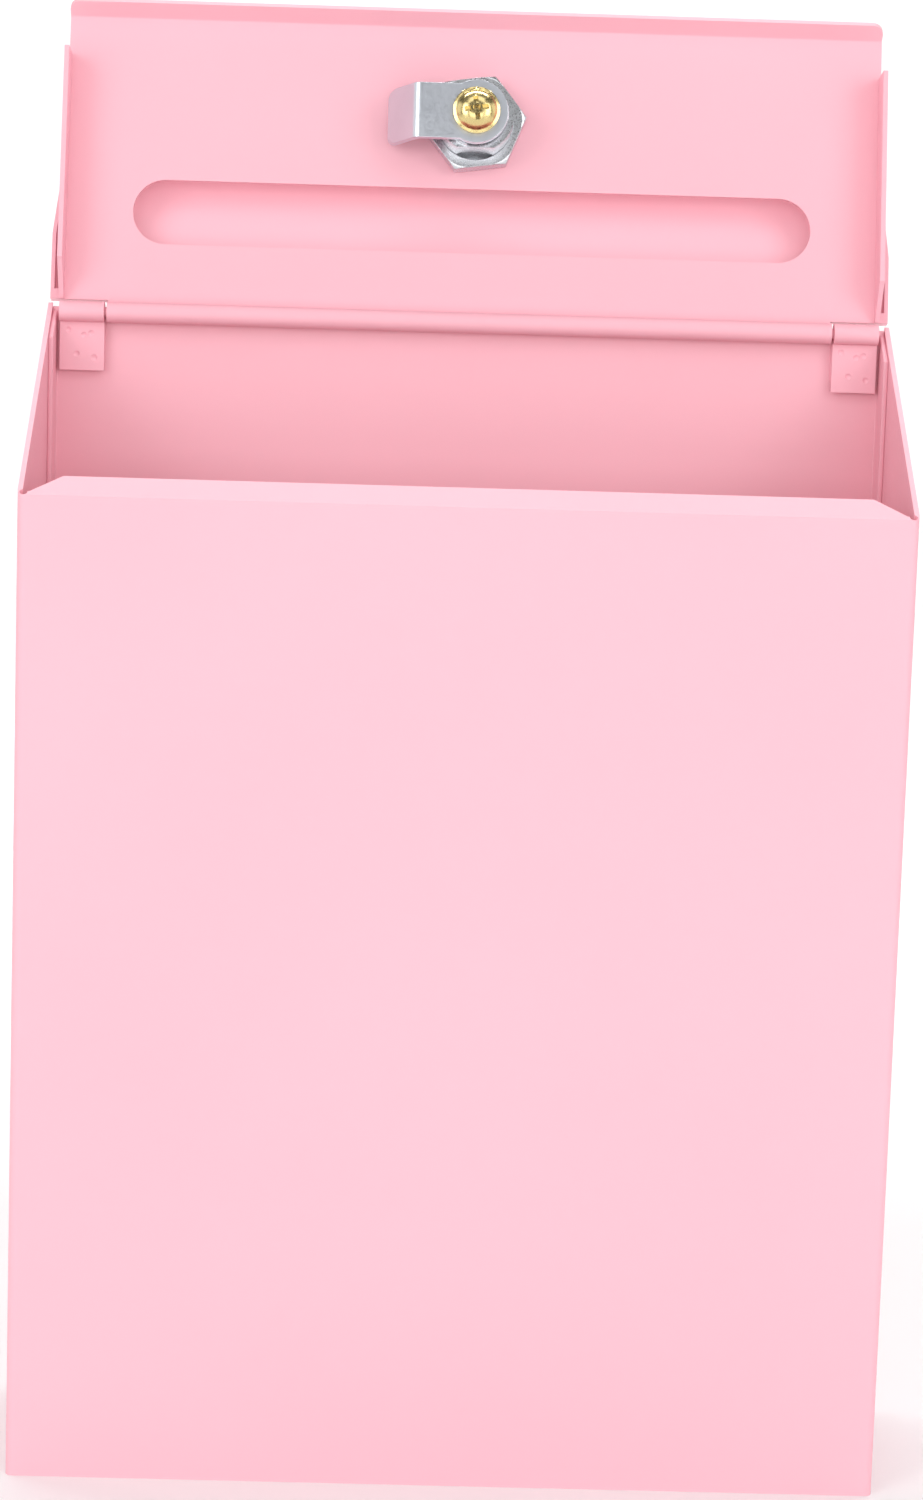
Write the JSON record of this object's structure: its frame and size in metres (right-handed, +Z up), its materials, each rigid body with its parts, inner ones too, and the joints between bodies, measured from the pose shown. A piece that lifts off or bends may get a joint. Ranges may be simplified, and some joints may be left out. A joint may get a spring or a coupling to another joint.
{
  "type": "donation box",
  "caption": "Wall-mountable sheet-steel donation box with a sloping hinged lid, hooded slot and turn cam lock, shown with its lid open.",
  "frame": {"origin": "centre of the base face, midway between the front and back panels", "axes": "+X to the right of a person facing the box, +Y towards the wall, +Z up"},
  "size_m": [0.178, 0.0708, 0.3014],
  "materials": {
    "powder_coat": "satin",
    "lock_zinc": "polished",
    "cam_zinc": "satin",
    "yellow_zinc": "polished",
    "wafer_brass": "satin"
  },
  "bodies": {
    "box": {"front_side_wrap": "powder_coat", "back_panel": "powder_coat", "bottom_panel": "powder_coat", "left_hinge_leaf": "powder_coat", "right_hinge_leaf": "powder_coat", "hinge_pin": "powder_coat"},
    "lid": {"lid_panel": "powder_coat", "slot_hood": "powder_coat", "lock_housing": "lock_zinc", "lock_nut": "lock_zinc"},
    "lock_core": {"lock_plug": "lock_zinc", "plug_wafers": "wafer_brass", "stop_washer": "lock_zinc", "cam_plate": "cam_zinc", "cam_washer": "yellow_zinc", "cam_screw": "yellow_zinc"}
  },
  "joints": [
    {"name": "lid_hinge", "type": "hinge", "parent": "box", "child": "lid", "pos_m": [0, 0.02455, 0.2359], "axis": [1, 0, 0], "range_deg": [0, 136.8]},
    {"name": "lock_turn", "type": "hinge", "parent": "lid", "child": "lock_core", "pos_m": [0, 0.03373, 0.2773], "axis": [0, 0.9763, -0.2164], "range_deg": [0, 90]}
  ]
}
